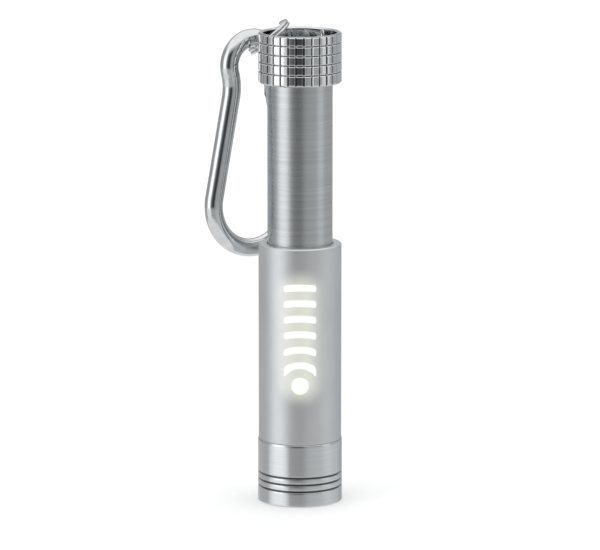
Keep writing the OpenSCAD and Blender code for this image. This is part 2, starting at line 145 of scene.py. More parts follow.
add(room, "ShaderNodeOutputWorld", {"Surface": seen.outputs[0]})


def soft_light(name, place, size, watts):
    """A square area light at a place, turned to face the middle of the object."""
    lamp = bpy.data.lights.new(name, "AREA")
    lamp.size = size
    lamp.energy = watts
    holder = bpy.data.objects.new(name, lamp)
    holder.location = place
    holder.rotation_euler = (AIM - Vector(place)).to_track_quat("-Z", "Y").to_euler()
    holder.visible_glossy = False
    bpy.context.scene.collection.objects.link(holder)


soft_light("key", (-0.5, -0.6, 1.1), 0.7, 0.8)
soft_light("fill", (0.8, -0.5, 0.9), 0.9, 0.9)
soft_light("top", (0.1, 0.4, 1.3), 1.0, 2.4)


def new_material(name):
    """A material with an empty tree and its output, which the caller links to."""
    material = bpy.data.materials.new(name)
    material.use_nodes = True
    material.node_tree.nodes.clear()
    return material, material.node_tree


def surface(tree, **inputs):
    """One Principled shader wired to the material's output."""
    names = {name.replace("_", " "): value for name, value in inputs.items()}
    shader = add(tree, "ShaderNodeBsdfPrincipled", names)
    add(tree, "ShaderNodeOutputMaterial", {"Surface": shader.outputs[0]})


def grain(tree, stretch, detail=3.0):
    """Noise on Object coordinates whose spacing along X, Y and Z is given in millimetres."""
    place = add(tree, "ShaderNodeTexCoord")
    scaled = add(tree, "ShaderNodeMapping", {"Vector": place.outputs["Object"],
                                             "Scale": [1 / (s * MM) for s in stretch]})
    return add(tree, "ShaderNodeTexNoise", {"Vector": scaled.outputs[0], "Scale": 1.0,
                                            "Detail": detail, "Roughness": 0.6})


def shades(tree, factor, low, high):
    """A colour that runs between two hex colours as noise does."""
    spread = add(tree, "ShaderNodeMapRange", {0: factor, 1: 0.3, 2: 0.7})
    return add(tree, "ShaderNodeMix", {"Factor": spread.outputs[0], "A": linear(low), "B": linear(high)},
               data_type="RGBA").outputs["Result"]


def pale_table():
    """Matt white laminate: bright and even, with a faint mottle."""
    material, tree = new_material("matt_white_laminate")
    mottle = grain(tree, (30, 30, 30))
    surface(tree, Base_Color=shades(tree, mottle.outputs["Fac"], "#fafafa", "#fdfdfd"), Roughness=0.9,
            Specular_IOR_Level=0.0)
    return material


reach = 4.0
floor_mesh = bpy.data.meshes.new("table")
floor_mesh.from_pydata([(-reach, -reach, 0), (reach, -reach, 0), (reach, reach, 0), (-reach, reach, 0)],
                       [], [(0, 1, 2, 3)])
floor = bpy.data.objects.new("table", floor_mesh)
floor.data.materials.append(pale_table())
bpy.context.scene.collection.objects.link(floor)
floor.visible_glossy = False


# ---- Base bezel ----------------------------------------------------------------------------------
# A ring turned from aluminium bar, pressed over the foot of the sleeve. Three grooves run round it,
# and the seam above it is where it meets the sleeve.

def between(tree, factor, low, high):
    """A number that runs from low to high as a 0 to 1 factor does."""
    return add(tree, "ShaderNodeMapRange", {0: factor, 1: 0.3, 2: 0.7, 3: low, 4: high}).outputs[0]


def bump(tree, height, depth_mm, strength=1.0):
    """A bump whose full height is a real depth in millimetres."""
    return add(tree, "ShaderNodeBump", {"Height": height, "Distance": depth_mm * MM,
                                        "Strength": strength}).outputs[0]


def tidy_mesh(mesh, sharp=40):
    """Merges doubled points, turns the faces outwards, and shades smooth with crisp edges past an angle."""
    work = bmesh.new()
    work.from_mesh(mesh)
    bmesh.ops.remove_doubles(work, verts=work.verts, dist=0.0005 * MM)
    bmesh.ops.recalc_face_normals(work, faces=work.faces)
    work.to_mesh(mesh)
    work.free()
    mesh.shade_smooth()
    mesh.set_sharp_from_angle(angle=math.radians(sharp))
    return mesh


def grid_faces(rows, columns, closed):
    """Four-sided faces of a grid of points that closes along its columns, and along its rows if asked."""
    i, j = np.meshgrid(np.arange(rows if closed else rows - 1), np.arange(columns), indexing="ij")
    i2, j2 = (i + 1) % rows, (j + 1) % columns
    faces = np.stack([i * columns + j, i2 * columns + j, i2 * columns + j2, i * columns + j2], -1)
    return faces.reshape(-1, 4)


def grid_mesh(name, points, closed=True):
    """A mesh from a grid of points: points that fall together, as at a pole, are merged."""
    mesh = bpy.data.meshes.new(name)
    mesh.from_pydata(points.reshape(-1, 3), [], grid_faces(*points.shape[:2], closed))
    return tidy_mesh(mesh)


def piece(name, mesh, material, body, slot, *nodes):
    """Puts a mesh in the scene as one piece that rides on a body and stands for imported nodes."""
    shown = bpy.data.objects.new(name, mesh)
    bpy.context.scene.collection.objects.link(shown)
    shown.data.materials.append(material)
    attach(shown, body)
    if nodes:
        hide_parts(*nodes)
    return shown


def fillets(corners, steps=5):
    """A closed outline from corners (r, z, fillet radius) in millimetres: each corner with a radius
    becomes an arc that touches both sides, and each without stays sharp."""
    corners = np.array(corners, float)
    outline = []
    for k, (r, z, radius) in enumerate(corners):
        here = corners[k, :2]
        back = corners[k - 1, :2] - here
        on = corners[(k + 1) % len(corners), :2] - here
        if radius <= 0:
            outline.append(here[None])
            continue
        a, b = back / np.linalg.norm(back), on / np.linalg.norm(on)
        half = math.acos(np.clip(a @ b, -1, 1)) / 2
        reach_mm = radius / math.tan(half)
        middle = here + (a + b) / np.linalg.norm(a + b) * radius / math.sin(half)
        start, end = here + a * reach_mm - middle, here + b * reach_mm - middle
        t = np.linspace(0, 1, steps + 1)[:, None]
        turn = math.pi - 2 * half
        outline.append(middle + (np.sin((1 - t) * turn) * start + np.sin(t * turn) * end) / math.sin(turn))
    return np.concatenate(outline)


def refined(outline, longest):
    """Adds points along an outline's straight stretches so that none is longer than a length."""
    out = []
    for a, b in zip(outline, np.roll(outline, -1, 0)):
        n = max(1, math.ceil(np.linalg.norm(b - a) / longest))
        out.append(a + (b - a) * np.linspace(0, 1, n, endpoint=False)[:, None])
    return np.concatenate(out)


STRETCH = 0.5


def revolved(name, outline, steps=192):
    """Turns an outline of (r, z) millimetres once round Z: x = r sin a, y = -r cos a. Long stretches
    are split, so that a fillet's shading stays beside it."""
    outline = refined(outline, STRETCH)
    angles = np.linspace(0, 2 * math.pi, steps, endpoint=False)
    r, z = outline[:, 0, None] * MM, outline[:, 1, None] * MM
    points = np.stack([r * np.sin(angles), -r * np.cos(angles), z + 0 * angles], -1)
    return grid_mesh(name, points)


def groove(radius, z, width, depth, soft):
    """Corners of one turned groove, from its lower edge to its upper edge."""
    return [(radius, z - width / 2, soft), (radius - depth, z - width / 4, soft),
            (radius - depth, z + width / 4, soft), (radius, z + width / 2, soft)]


def box_mm(node):
    """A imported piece's lowest and highest corners in millimetres."""
    return [np.array(corner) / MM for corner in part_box(node)]


BASE_R, BASE_H = box_mm("base_bezel")[1][[0, 2]]
GROOVES = [3.4, 4.9, 6.4]
GROOVE_W = 0.5
GROOVE_DEPTH = 0.25
BEZEL_WALL = 0.7
LENS_SEAT_WALL = 1.35
OPENING_WALL = 2.2
LENS_LIP = 1.1
STEP_Z = 4.0


def with_painted_groove_shade(tree, colour, radius, depth):
    """Darkens a colour where the surface lies below a radius, in a groove or further in: painted shade."""
    place = add(tree, "ShaderNodeTexCoord")
    flat = add(tree, "ShaderNodeVectorMath", {0: place.outputs["Object"], 1: (1, 1, 0)}, operation="MULTIPLY")
    out = add(tree, "ShaderNodeVectorMath", {0: flat.outputs[0]}, operation="LENGTH")
    unshaded = add(tree, "ShaderNodeMapRange", {0: out.outputs["Value"], 1: (radius - depth) * MM,
                                             2: (radius - 0.3 * depth) * MM}, interpolation_type="SMOOTHSTEP")
    return add(tree, "ShaderNodeMix", {"Factor": unshaded.outputs[0], "A": linear("#5c5e5f"), "B": colour},
               data_type="RGBA").outputs["Result"]


def turned_aluminium():
    """Aluminium, turned and left bright: clear soft-edged bands crossed by faint lathe lines, drawn at
    0.2 mm where the real ones are nearer 0.05 mm, and painted shade in the grooves."""
    material, tree = new_material("turned_aluminium")
    lines = grain(tree, (70, 70, 0.2), 4)
    metal = shades(tree, lines.outputs["Fac"], "#cfd1d2", "#dddfe0")
    surface(tree, Base_Color=with_painted_groove_shade(tree, metal, BASE_R, GROOVE_DEPTH), Metallic=1.0,
            Roughness=between(tree, lines.outputs["Fac"], 0.15, 0.21),
            Normal=bump(tree, lines.outputs["Fac"], 0.0012))
    return material


bezel_outline = fillets(
    [(BASE_R - OPENING_WALL, 0, 0.1), (BASE_R - 0.2, 0, 0.08), (BASE_R, 0.2, 0.08)]
    + [corner for z in GROOVES for corner in groove(BASE_R, z, GROOVE_W, GROOVE_DEPTH, 0.03)]
    + [(BASE_R, BASE_H, 0.15), (BASE_R - BEZEL_WALL, BASE_H, 0), (BASE_R - BEZEL_WALL, STEP_Z, 0),
       (BASE_R - LENS_SEAT_WALL, STEP_Z, 0), (BASE_R - LENS_SEAT_WALL, LENS_LIP, 0),
       (BASE_R - OPENING_WALL, LENS_LIP, 0.1)])
piece("base_bezel_turned", revolved("base_bezel_turned", bezel_outline), turned_aluminium(),
      "sleeve", "turned_aluminium", "base_bezel")


# ---- Front lens, its seal and the reflector ------------------------------------------------------
# A clear moulded lens stands in the bezel's mouth with a rubber ring behind it, and the metallised
# cup above them takes the diode when the tube is pushed home.

def clear_plastic():
    """Moulded polycarbonate: clear, glossy, faintly cool."""
    material, tree = new_material("clear_polycarbonate")
    flow = grain(tree, (3, 3, 3))
    surface(tree, Base_Color=linear("#f2f6f8"), Roughness=between(tree, flow.outputs["Fac"], 0.03, 0.07),
            IOR=1.58, Transmission_Weight=0.9, Normal=bump(tree, flow.outputs["Fac"], 0.004))
    return material


def nitrile_rubber():
    """Black nitrile rubber: dull, with a dusty grain of about 0.2 mm."""
    material, tree = new_material("nitrile_rubber")
    dust = grain(tree, (0.2, 0.2, 0.2))
    surface(tree, Base_Color=shades(tree, dust.outputs["Fac"], "#141414", "#242424"), Roughness=0.75,
            Normal=bump(tree, dust.outputs["Fac"], 0.01))
    return material


def metallised_plastic():
    """Vacuum-metallised plastic: nearly a mirror, with a soft moulded ripple."""
    material, tree = new_material("metallised_plastic")
    ripple = grain(tree, (1.2, 1.2, 1.2))
    surface(tree, Base_Color=shades(tree, ripple.outputs["Fac"], "#d8dadb", "#e6e8e9"), Metallic=1.0,
            Roughness=0.12, Normal=bump(tree, ripple.outputs["Fac"], 0.01))
    return material


def dress(material, *nodes):
    """Gives nodes that stay as packed their material."""
    for name in nodes:
        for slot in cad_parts[name].material_slots:
            slot.material = material


lens_low, lens_high = box_mm("front_lens")
crown = np.linspace(0, 1, 12)
lens_outline = np.concatenate([
    np.stack([lens_high[0] * crown, lens_low[2] + 0.25 * crown ** 2], -1),
    np.stack([lens_high[0] * crown[::-1], lens_high[2] - 0.3 * crown[::-1] ** 2], -1)])
piece("front_lens_moulded", revolved("front_lens_moulded", lens_outline, 96), clear_plastic(),
      "sleeve", "clear_plastic", "front_lens")
rubber = nitrile_rubber()
dress(rubber, "lens_seal", "drag_ring", "cap_seal")
dress(metallised_plastic(), "reflector")


# ---- Sleeve --------------------------------------------------------------------------------------
# A tube of clear plastic sprayed satin silver, with a lip at its mouth that guides the inner tube.
# Behind the mark the clear wall carries the light a few millimetres sideways under the paint.

SLEEVE_R, SLEEVE_TOP = box_mm("sleeve")[1][[0, 2]]
tube_low, tube_high = box_mm("inner_tube")
TUBE_R = tube_high[0]
mark_low, mark_high = box_mm("lit_mark")
LIP_H = 3.0
LIP_R = TUBE_R + 0.12
BORE_R = TUBE_R + 0.8
SPIGOT_R = BASE_R - 0.72
SPIGOT_Z = 4.8
SEAM_Z = BASE_H + 0.02
MOUTH_CHAMFER = 0.28
GLOW_STRENGTH = 0.44


def satin_lacquer():
    """Silver lacquer on plastic, satin: fine metal flakes about 0.12 mm across, a broad soft shine, and
    a pale glow that fades about 5 mm from the lit mark."""
    material, tree = new_material("satin_silver_lacquer")
    flakes = grain(tree, (0.13, 0.13, 0.13), 2)
    cloud = grain(tree, (6, 6, 9), 2)
    place = add(tree, "ShaderNodeTexCoord")
    axes = add(tree, "ShaderNodeSeparateXYZ", {"Vector": place.outputs["Object"]})
    low = (mark_low[2] + 2.5) * MM
    high = (mark_high[2] - 2.0) * MM
    nearest = add(tree, "ShaderNodeClamp", {"Value": axes.outputs["Z"], "Min": low, "Max": high})
    up = add(tree, "ShaderNodeMath", {0: axes.outputs["Z"], 1: nearest.outputs[0]}, operation="SUBTRACT")
    flat = add(tree, "ShaderNodeCombineXYZ", {"X": axes.outputs["X"], "Y": up.outputs[0]})
    away = add(tree, "ShaderNodeVectorMath", {0: flat.outputs[0]}, operation="LENGTH")
    glow = add(tree, "ShaderNodeMapRange",
               {0: away.outputs["Value"], 1: 1.0 * MM, 2: 6.0 * MM, 3: 1.0, 4: 0.0},
               interpolation_type="SMOOTHSTEP")
    facing = add(tree, "ShaderNodeMath", {0: axes.outputs["Y"], 1: 0.0}, operation="LESS_THAN")
    front_glow = add(tree, "ShaderNodeMath", {0: glow.outputs[0], 1: facing.outputs[0]}, operation="MULTIPLY")
    strength = add(tree, "ShaderNodeMath", {0: front_glow.outputs[0], 1: GLOW_STRENGTH}, operation="MULTIPLY")
    surface(tree, Base_Color=shades(tree, cloud.outputs["Fac"], "#cdcfd0", "#d3d5d6"), Metallic=0.9,
            Roughness=between(tree, flakes.outputs["Fac"], 0.36, 0.46),
            Normal=bump(tree, flakes.outputs["Fac"], 0.012),
            Emission_Color=linear("#f3f5dc"), Emission_Strength=strength.outputs[0])
    return material


sleeve_outline = fillets([
    (BORE_R, SPIGOT_Z, 0), (SPIGOT_R, SPIGOT_Z, 0), (SPIGOT_R, SEAM_Z, 0), (SLEEVE_R, SEAM_Z, 0.1),
    (SLEEVE_R, SLEEVE_TOP - MOUTH_CHAMFER, 0.12), (SLEEVE_R - MOUTH_CHAMFER, SLEEVE_TOP, 0.12),
    (LIP_R, SLEEVE_TOP, 0.08), (LIP_R, SLEEVE_TOP - LIP_H, 0), (BORE_R, SLEEVE_TOP - LIP_H, 0)])
piece("sleeve_painted", revolved("sleeve_painted", sleeve_outline), satin_lacquer(),
      "sleeve", "sleeve_paint", "sleeve")


# ---- Lit mark ------------------------------------------------------------------------------------
# The paint is cut away by laser in a dot with curved bars over it, so the clear wall shows, lit from
# inside by the diode.

def lit_window():
    """Clear plastic lit from behind: white, its brightness varying a little at random."""
    material, tree = new_material("lit_clear_window")
    haze = grain(tree, (1.5, 1.5, 1.5))
    surface(tree, Base_Color=linear("#9a9c98"), Roughness=0.35, Emission_Color=linear("#fffffa"),
            Emission_Strength=between(tree, haze.outputs["Fac"], 0.66, 0.74))
    return material


MARK_W = 7.0
MARK_BARS = 6
BAR_H = 1.5
BAR_PITCH = 3.4
DOT_R = 1.9
PROUD = 0.012
BACK_SCALE = np.array([0.98, 0.98, 1])
mark_z = mark_low[2] + DOT_R


def on_sleeve(across, up):
    """Carries flat points, across and up in millimetres, straight back onto the front of the sleeve."""
    radius = SLEEVE_R + PROUD
    return np.stack([across, -np.sqrt(radius ** 2 - across ** 2), up], -1) * MM


def bar_plate(radius):
    """One curved bar: an arc band about the dot's middle, as wide as the mark, with rounded ends."""
    u = np.linspace(-1, 1, 25)[:, None]
    v = np.linspace(0, 1, 5)[None, :]
    end = np.clip((np.abs(u) - 0.9) / 0.1, 0, 1)
    squeeze = 1 - 0.45 * end ** 2
    band = radius - BAR_H / 2 + (v - 0.5) * BAR_H * squeeze
    across = u * MARK_W / 2 + 0 * v
    up = mark_z + np.sqrt(np.maximum(band ** 2 - across ** 2, 0))
    return across, up


def dot_plate():
    """The dot: rings of a disc from its middle to its edge."""
    turn = np.linspace(0, 2 * math.pi, 48, endpoint=False)[:, None]
    out = np.linspace(0, 1, 5)[None, :] * DOT_R
    return out * np.sin(turn), mark_z + out * np.cos(turn)


def plate_mesh(name, plates):
    """Joins plates into one mesh: each is a grid front with the same grid behind it and a wall round it,
    and an open plate has its two ends filled."""
    points, faces, start = [], [], 0
    for across, up, round_shape in plates:
        front = on_sleeve(across, up)
        shell = np.concatenate([front, (front * BACK_SCALE)[:, ::-1]], 1)
        rows, columns = shell.shape[:2]
        points.append(shell.reshape(-1, 3))
        faces += (grid_faces(rows, columns, round_shape) + start).tolist()
        if not round_shape:
            end = np.arange(columns)
            faces += [(end + start).tolist(), (end[::-1] + start + (rows - 1) * columns).tolist()]
        start += rows * columns
    mesh = bpy.data.meshes.new(name)
    mesh.from_pydata(np.concatenate(points), [], faces)
    return tidy_mesh(mesh)


plates = [(*dot_plate(), True)]
plates += [(*bar_plate(DOT_R + k * BAR_PITCH), False) for k in range(1, MARK_BARS + 1)]
piece("lit_mark_windows", plate_mesh("lit_mark_windows", plates), lit_window(), "sleeve", "lit", "lit_mark")


# ---- Inner tube ----------------------------------------------------------------------------------
# Thin aluminium tube, brushed round its axis while it spun, then lacquered. It slides in the
# sleeve's lip and screws into the cap above.

def brushed_tube():
    """Brushed aluminium: lines run round the tube, a few tenths of a millimetre apart as drawn here, so
    the reflections stay upright bands with blurred, slightly streaked edges."""
    material, tree = new_material("brushed_aluminium")
    lines = grain(tree, (40, 40, 0.16), 5)
    streaks = grain(tree, (40, 40, 0.9), 3)
    surface(tree, Base_Color=shades(tree, streaks.outputs["Fac"], "#b9bcbd", "#c8cacb"), Metallic=1.0,
            Roughness=between(tree, lines.outputs["Fac"], 0.2, 0.32),
            Normal=bump(tree, lines.outputs["Fac"], 0.002))
    return material


TUBE_WALL = 0.8
tube_outline = fillets([
    (TUBE_R - TUBE_WALL, tube_low[2], 0.1), (TUBE_R, tube_low[2], 0.1), (TUBE_R, tube_high[2], 0.2),
    (TUBE_R - TUBE_WALL, tube_high[2], 0.2)])
piece("inner_tube_brushed", revolved("inner_tube_brushed", tube_outline), brushed_tube(),
      "inner_tube", "brushed_tube", "inner_tube")


# ---- Light engine and cells, inside the tube -----------------------------------------------------
# From the foot up: a moulded collar and its rubber ring, the carrier with the diode, a small board,
# the contact, four button cells in their film, and the spring and contact under the cap.

def moulded_acetal():
    """Moulded acetal: waxy off-white with a faint grain."""
    material, tree = new_material("moulded_acetal")
    wax = grain(tree, (0.5, 0.5, 0.5))
    surface(tree, Base_Color=shades(tree, wax.outputs["Fac"], "#ddd9cf", "#e8e5dc"), Roughness=0.42,
            Normal=bump(tree, wax.outputs["Fac"], 0.005))
    return material


def clear_epoxy():
    """Clear epoxy of a white diode: glossy, with a yellow cast from the phosphor."""
    material, tree = new_material("diode_epoxy")
    depth = grain(tree, (2, 2, 2))
    surface(tree, Base_Color=shades(tree, depth.outputs["Fac"], "#f3f0cf", "#fbfaf0"), Roughness=0.08,
            Transmission_Weight=0.4, Emission_Color=linear("#ffffff"), Emission_Strength=0.6)
    return material


def solder_mask():
    """Green solder mask over woven glass."""
    material, tree = new_material("solder_mask")
    weave = grain(tree, (0.4, 0.4, 0.4))
    surface(tree, Base_Color=shades(tree, weave.outputs["Fac"], "#10492c", "#1a6a40"), Roughness=0.35,
            Normal=bump(tree, weave.outputs["Fac"], 0.01))
    return material


def chip_ceramic():
    """Black ceramic chip."""
    material, tree = new_material("chip_ceramic")
    speck = grain(tree, (0.1, 0.1, 0.1))
    surface(tree, Base_Color=shades(tree, speck.outputs["Fac"], "#121212", "#1e1e1e"), Roughness=0.5)
    return material


def gilt_bronze():
    """Gold flash on spring bronze."""
    material, tree = new_material("gilt_bronze")
    rub = grain(tree, (0.6, 0.6, 0.6))
    surface(tree, Base_Color=shades(tree, rub.outputs["Fac"], "#d6b266", "#e6c987"), Metallic=1.0,
            Roughness=between(tree, rub.outputs["Fac"], 0.2, 0.34))
    return material


def printed_film():
    """Green polyester film, shrunk round the cells."""
    material, tree = new_material("printed_film")
    pull = grain(tree, (1, 1, 4))
    surface(tree, Base_Color=shades(tree, pull.outputs["Fac"], "#174a30", "#205c3d"), Roughness=0.3,
            Normal=bump(tree, pull.outputs["Fac"], 0.02))
    return material


def cell_steel():
    """Nickel-plated steel of a button cell, drawn and tumbled."""
    material, tree = new_material("nickel_plated_can")
    tumble = grain(tree, (0.35, 0.35, 0.35))
    surface(tree, Base_Color=shades(tree, tumble.outputs["Fac"], "#b4b7b8", "#cfd1d2"), Metallic=1.0,
            Roughness=between(tree, tumble.outputs["Fac"], 0.2, 0.36))
    return material


def spring_wire():
    """Drawn steel wire, bright with dull die lines."""
    material, tree = new_material("drawn_spring_wire")
    die = grain(tree, (0.3, 0.3, 0.3))
    surface(tree, Base_Color=shades(tree, die.outputs["Fac"], "#8d9092", "#a9acae"), Metallic=1.0,
            Roughness=between(tree, die.outputs["Fac"], 0.25, 0.4))
    return material


dress(moulded_acetal(), "stop_collar", "led_carrier")
dress(clear_epoxy(), "led")
dress(solder_mask(), "circuit_board")
dress(chip_ceramic(), "resistor")
dress(gilt_bronze(), "front_contact", "tail_contact")
dress(printed_film(), "cell_film")
dress(cell_steel(), *[f"cell_{k}" for k in (1, 2, 3, 4)])
dress(spring_wire(), "tail_spring", "gate_plunger", "gate_spring")


# ---- Head cap ------------------------------------------------------------------------------------
# The battery cap: turned, knurled with upright and level grooves, hollowed on top and chrome plated.
# A hole through the hollow's wall takes the split ring.

cap_low, cap_high = box_mm("head_cap")
CAP_R = 9.0
CAP_H = cap_high[2] - cap_low[2]
HOLLOW_R = 8.0
HOLLOW_DEPTH = 5.0
DISH = 0.4
SOCKET_H = 4.2
BAND_H = 2.1
GROOVE_ROWS = 4
FLUTES = 32
KNURL_W = 0.46
KNURL_DEPTH = 0.24
HOLE_DEPTH = 3.2
HOLE_R = 1.7
SOCKET_R = TUBE_R + 0.06
SEAL_SEAT_R = TUBE_R + 0.9
SEAL_SEAT_H = 0.95
HOLE_BEARING = math.radians(160)
CAP_Z = cap_low[2]


def mirror_chrome():
    """Chrome plate over polished metal: a mirror with a trace of orange peel about 1 mm across, and
    painted shade deep in the knurl's flutes and grooves.
    """
    material, tree = new_material("mirror_chrome")
    peel = grain(tree, (0.9, 0.9, 0.9), 2)
    plate = shades(tree, peel.outputs["Fac"], "#d3d5d6", "#dadcdd")
    away = add(tree, "ShaderNodeTexCoord")
    axes = add(tree, "ShaderNodeSeparateXYZ", {"Vector": away.outputs["Object"]})
    x2 = add(tree, "ShaderNodeMath", {0: axes.outputs["X"], 1: axes.outputs["X"]}, operation="MULTIPLY")
    r2 = add(tree, "ShaderNodeMath", {0: axes.outputs["Y"], 1: axes.outputs["Y"], 2: x2.outputs[0]},
             operation="MULTIPLY_ADD")
    # Painted shade on the knurled outer wall only: darker deep in its flutes and grooves
    outside = add(tree, "ShaderNodeMath", {0: r2.outputs[0], 1: ((CAP_R - KNURL_DEPTH - 0.02) * MM) ** 2},
                  operation="GREATER_THAN")
    groove_shaded = with_painted_groove_shade(tree, plate, CAP_R, KNURL_DEPTH)
    knurl = add(tree, "ShaderNodeMix", {"Factor": outside.outputs[0], "A": plate, "B": groove_shaded},
                data_type="RGBA")
    surface(tree, Base_Color=knurl.outputs["Result"], Metallic=1.0,
            Roughness=between(tree, peel.outputs["Fac"], 0.05, 0.08),
            Normal=bump(tree, peel.outputs["Fac"], 0.0025))
    return material


level_grooves = []
for k in range(GROOVE_ROWS, 0, -1):
    z = CAP_H - k * BAND_H
    level_grooves += [(CAP_R, z - KNURL_W / 2, 0.03), (CAP_R - KNURL_DEPTH, z, 0.03),
                      (CAP_R, z + KNURL_W / 2, 0.08)]
cap_corners = (
    [(CAP_R - 0.35, 0, 0.12), (CAP_R, 0.35, 0.12)] + level_grooves
    + [(CAP_R, CAP_H - 0.32, 0.14), (CAP_R - 0.32, CAP_H, 0.14), (HOLLOW_R + 0.2, CAP_H, 0.12),
       (HOLLOW_R, CAP_H - 0.3, 0.12), (HOLLOW_R, CAP_H - HOLLOW_DEPTH, 0.35)])
cap_outer = fillets(cap_corners + [(0, CAP_H - HOLLOW_DEPTH - DISH, 0), (0, SOCKET_H, 0),
                                   (SOCKET_R, SOCKET_H, 0.1), (SOCKET_R, SEAL_SEAT_H, 0),
                                   (SEAL_SEAT_R, SEAL_SEAT_H, 0), (SEAL_SEAT_R, 0, 0)])


def knurled(outline):
    """Turns the cap's outline round Z and sinks a V into the outer wall at each flute: the V's depth
    falls off evenly to nothing at half its width."""
    flute = 2 * math.pi / FLUTES
    half = KNURL_W / 2 / CAP_R
    across = np.concatenate([np.linspace(-half, half, 7),
                             np.linspace(half, flute - half, 8)[1:-1]])
    angles = (flute / 2 + np.arange(FLUTES)[:, None] * flute + across).ravel()
    fall = np.tile(np.clip(1 - np.abs(across) / half, 0, 1), FLUTES)
    r, z = outline[:, 0, None], outline[:, 1, None]
    outer = np.clip((r - (CAP_R - 0.45)) / 0.1, 0, 1)
    floor_r = CAP_R - KNURL_DEPTH * fall
    r = np.where(outer > 0, np.minimum(r, floor_r * outer + r * (1 - outer)), r) + 0 * angles
    points = np.stack([r * np.sin(angles), -r * np.cos(angles), z + CAP_Z + 0 * angles], -1) * MM
    return grid_mesh("head_cap_knurled", points)


cap = piece("head_cap_knurled", knurled(refined(cap_outer, 0.3)), mirror_chrome(), "head_cap",
            "chrome_plate", "head_cap")

drill_mesh = bpy.data.meshes.new("drill")
drill_shape = bmesh.new()
bmesh.ops.create_cone(drill_shape, cap_ends=True, segments=64, radius1=HOLE_R * MM, radius2=HOLE_R * MM,
                      depth=4 * MM)
drill_shape.to_mesh(drill_mesh)
drill_shape.free()
drill = bpy.data.objects.new("drill", drill_mesh)
drill_out = Vector((math.cos(HOLE_BEARING), math.sin(HOLE_BEARING), 0))
drill.matrix_world = drill_out.to_track_quat("Z", "Y").to_matrix().to_4x4()
drill.location = drill_out * (CAP_R - 0.5) * MM + Vector((0, 0, (CAP_Z + CAP_H - HOLE_DEPTH) * MM))
bpy.context.scene.collection.objects.link(drill)
cut = cap.modifiers.new("ring_hole", "BOOLEAN")
cut.operation = "DIFFERENCE"
cut.solver = "EXACT"
cut.object = drill
bpy.context.view_layer.update()
drilled = bpy.data.meshes.new_from_object(cap.evaluated_get(bpy.context.evaluated_depsgraph_get()))
cap.modifiers.clear()
cap.data = tidy_mesh(drilled, 38)
bpy.data.objects.remove(drill)


# ---- Split ring ----------------------------------------------------------------------------------
# Nearly two turns of round steel wire, nickel plated, with one short crossover where a turn steps
# over to the next.

def bright_nickel():
    """Bright nickel over a tumbled casting: mirror-like with soft edges and a slight waviness."""
    material, tree = new_material("bright_nickel")
    wave = grain(tree, (2.2, 2.2, 2.2), 2)
    rub = grain(tree, (0.4, 0.4, 0.4), 3)
    surface(tree, Base_Color=shades(tree, wave.outputs["Fac"], "#cbcdce", "#d6d8d9"), Metallic=1.0,
            Roughness=between(tree, rub.outputs["Fac"], 0.05, 0.09),
            Normal=bump(tree, wave.outputs["Fac"], 0.02))
    return material


def swept(name, path, out, up, radii, sides=32, section=None):
    """Carries a section along a path. Each ring is the path's point plus the section's two
    coordinates along out and up, times that ring's radius; the ends shrink to closed points."""
    turn = np.linspace(0, 2 * math.pi, sides, endpoint=False)
    flat = np.stack([np.cos(turn), np.sin(turn)], -1) if section is None else section
    points = (path[:, None] + radii[:, None, None] * (flat[None, :, :1] * out[:, None]
                                                      + flat[None, :, 1:] * up[:, None]))
    points = np.concatenate([path[None, :1] + 0 * points[:1], points, path[None, -1:] + 0 * points[:1]])
    return grid_mesh(name, points * MM, closed=False)


RING_R = 5.05
WIRE_R = 0.35
RING_TILT = math.radians(39.3)
RING_HOLE = math.radians(-109.5)
RING_REACH = (CAP_R + HOLLOW_R) / 2
COIL_HALF_GAP = 0.01
hole_at = np.array([RING_REACH * math.cos(HOLE_BEARING), RING_REACH * math.sin(HOLE_BEARING),
                    CAP_Z + CAP_H - HOLE_DEPTH])
ring_across = np.array([math.cos(RING_TILT), 0, math.sin(RING_TILT)])
ring_back = np.array([0.0, 1.0, 0.0])
ring_normal = np.cross(ring_across, ring_back)
ring_at = hole_at - RING_R * (math.cos(RING_HOLE) * ring_across + math.sin(RING_HOLE) * ring_back)

HALF_CROSS = 20
CROSS_BEARING = math.radians(70)
RING_STEPS = 300
turns = np.radians(np.linspace(HALF_CROSS, 720 - HALF_CROSS, RING_STEPS))
step_over = np.clip((np.degrees(turns) - 360 + HALF_CROSS) / (2 * HALF_CROSS), 0, 1)
rise = (WIRE_R + COIL_HALF_GAP) * (2 * step_over ** 2 * (3 - 2 * step_over) - 1)
around_ring = turns + CROSS_BEARING
ring_out = np.cos(around_ring)[:, None] * ring_across + np.sin(around_ring)[:, None] * ring_back
ring_path = ring_at + RING_R * ring_out + rise[:, None] * ring_normal
wire_radii = WIRE_R * np.ones(len(turns))
wire_radii[[0, -1]] = 0.8 * WIRE_R
nickel = bright_nickel()
ring_mesh = swept("split_ring_wire", ring_path, ring_out, ring_normal + 0 * ring_out, wire_radii, 20)
piece("split_ring_wire", ring_mesh, nickel, "split_ring", "nickel_plate", "split_ring")


# ---- Carabiner -----------------------------------------------------------------------------------
# A 4 mm bar bent into a small end, a waist and a wide end, polished and plated. The small end stops
# in a flat tab for the gate's rivet, and the wide end in a half-round nose that the gate closes on.

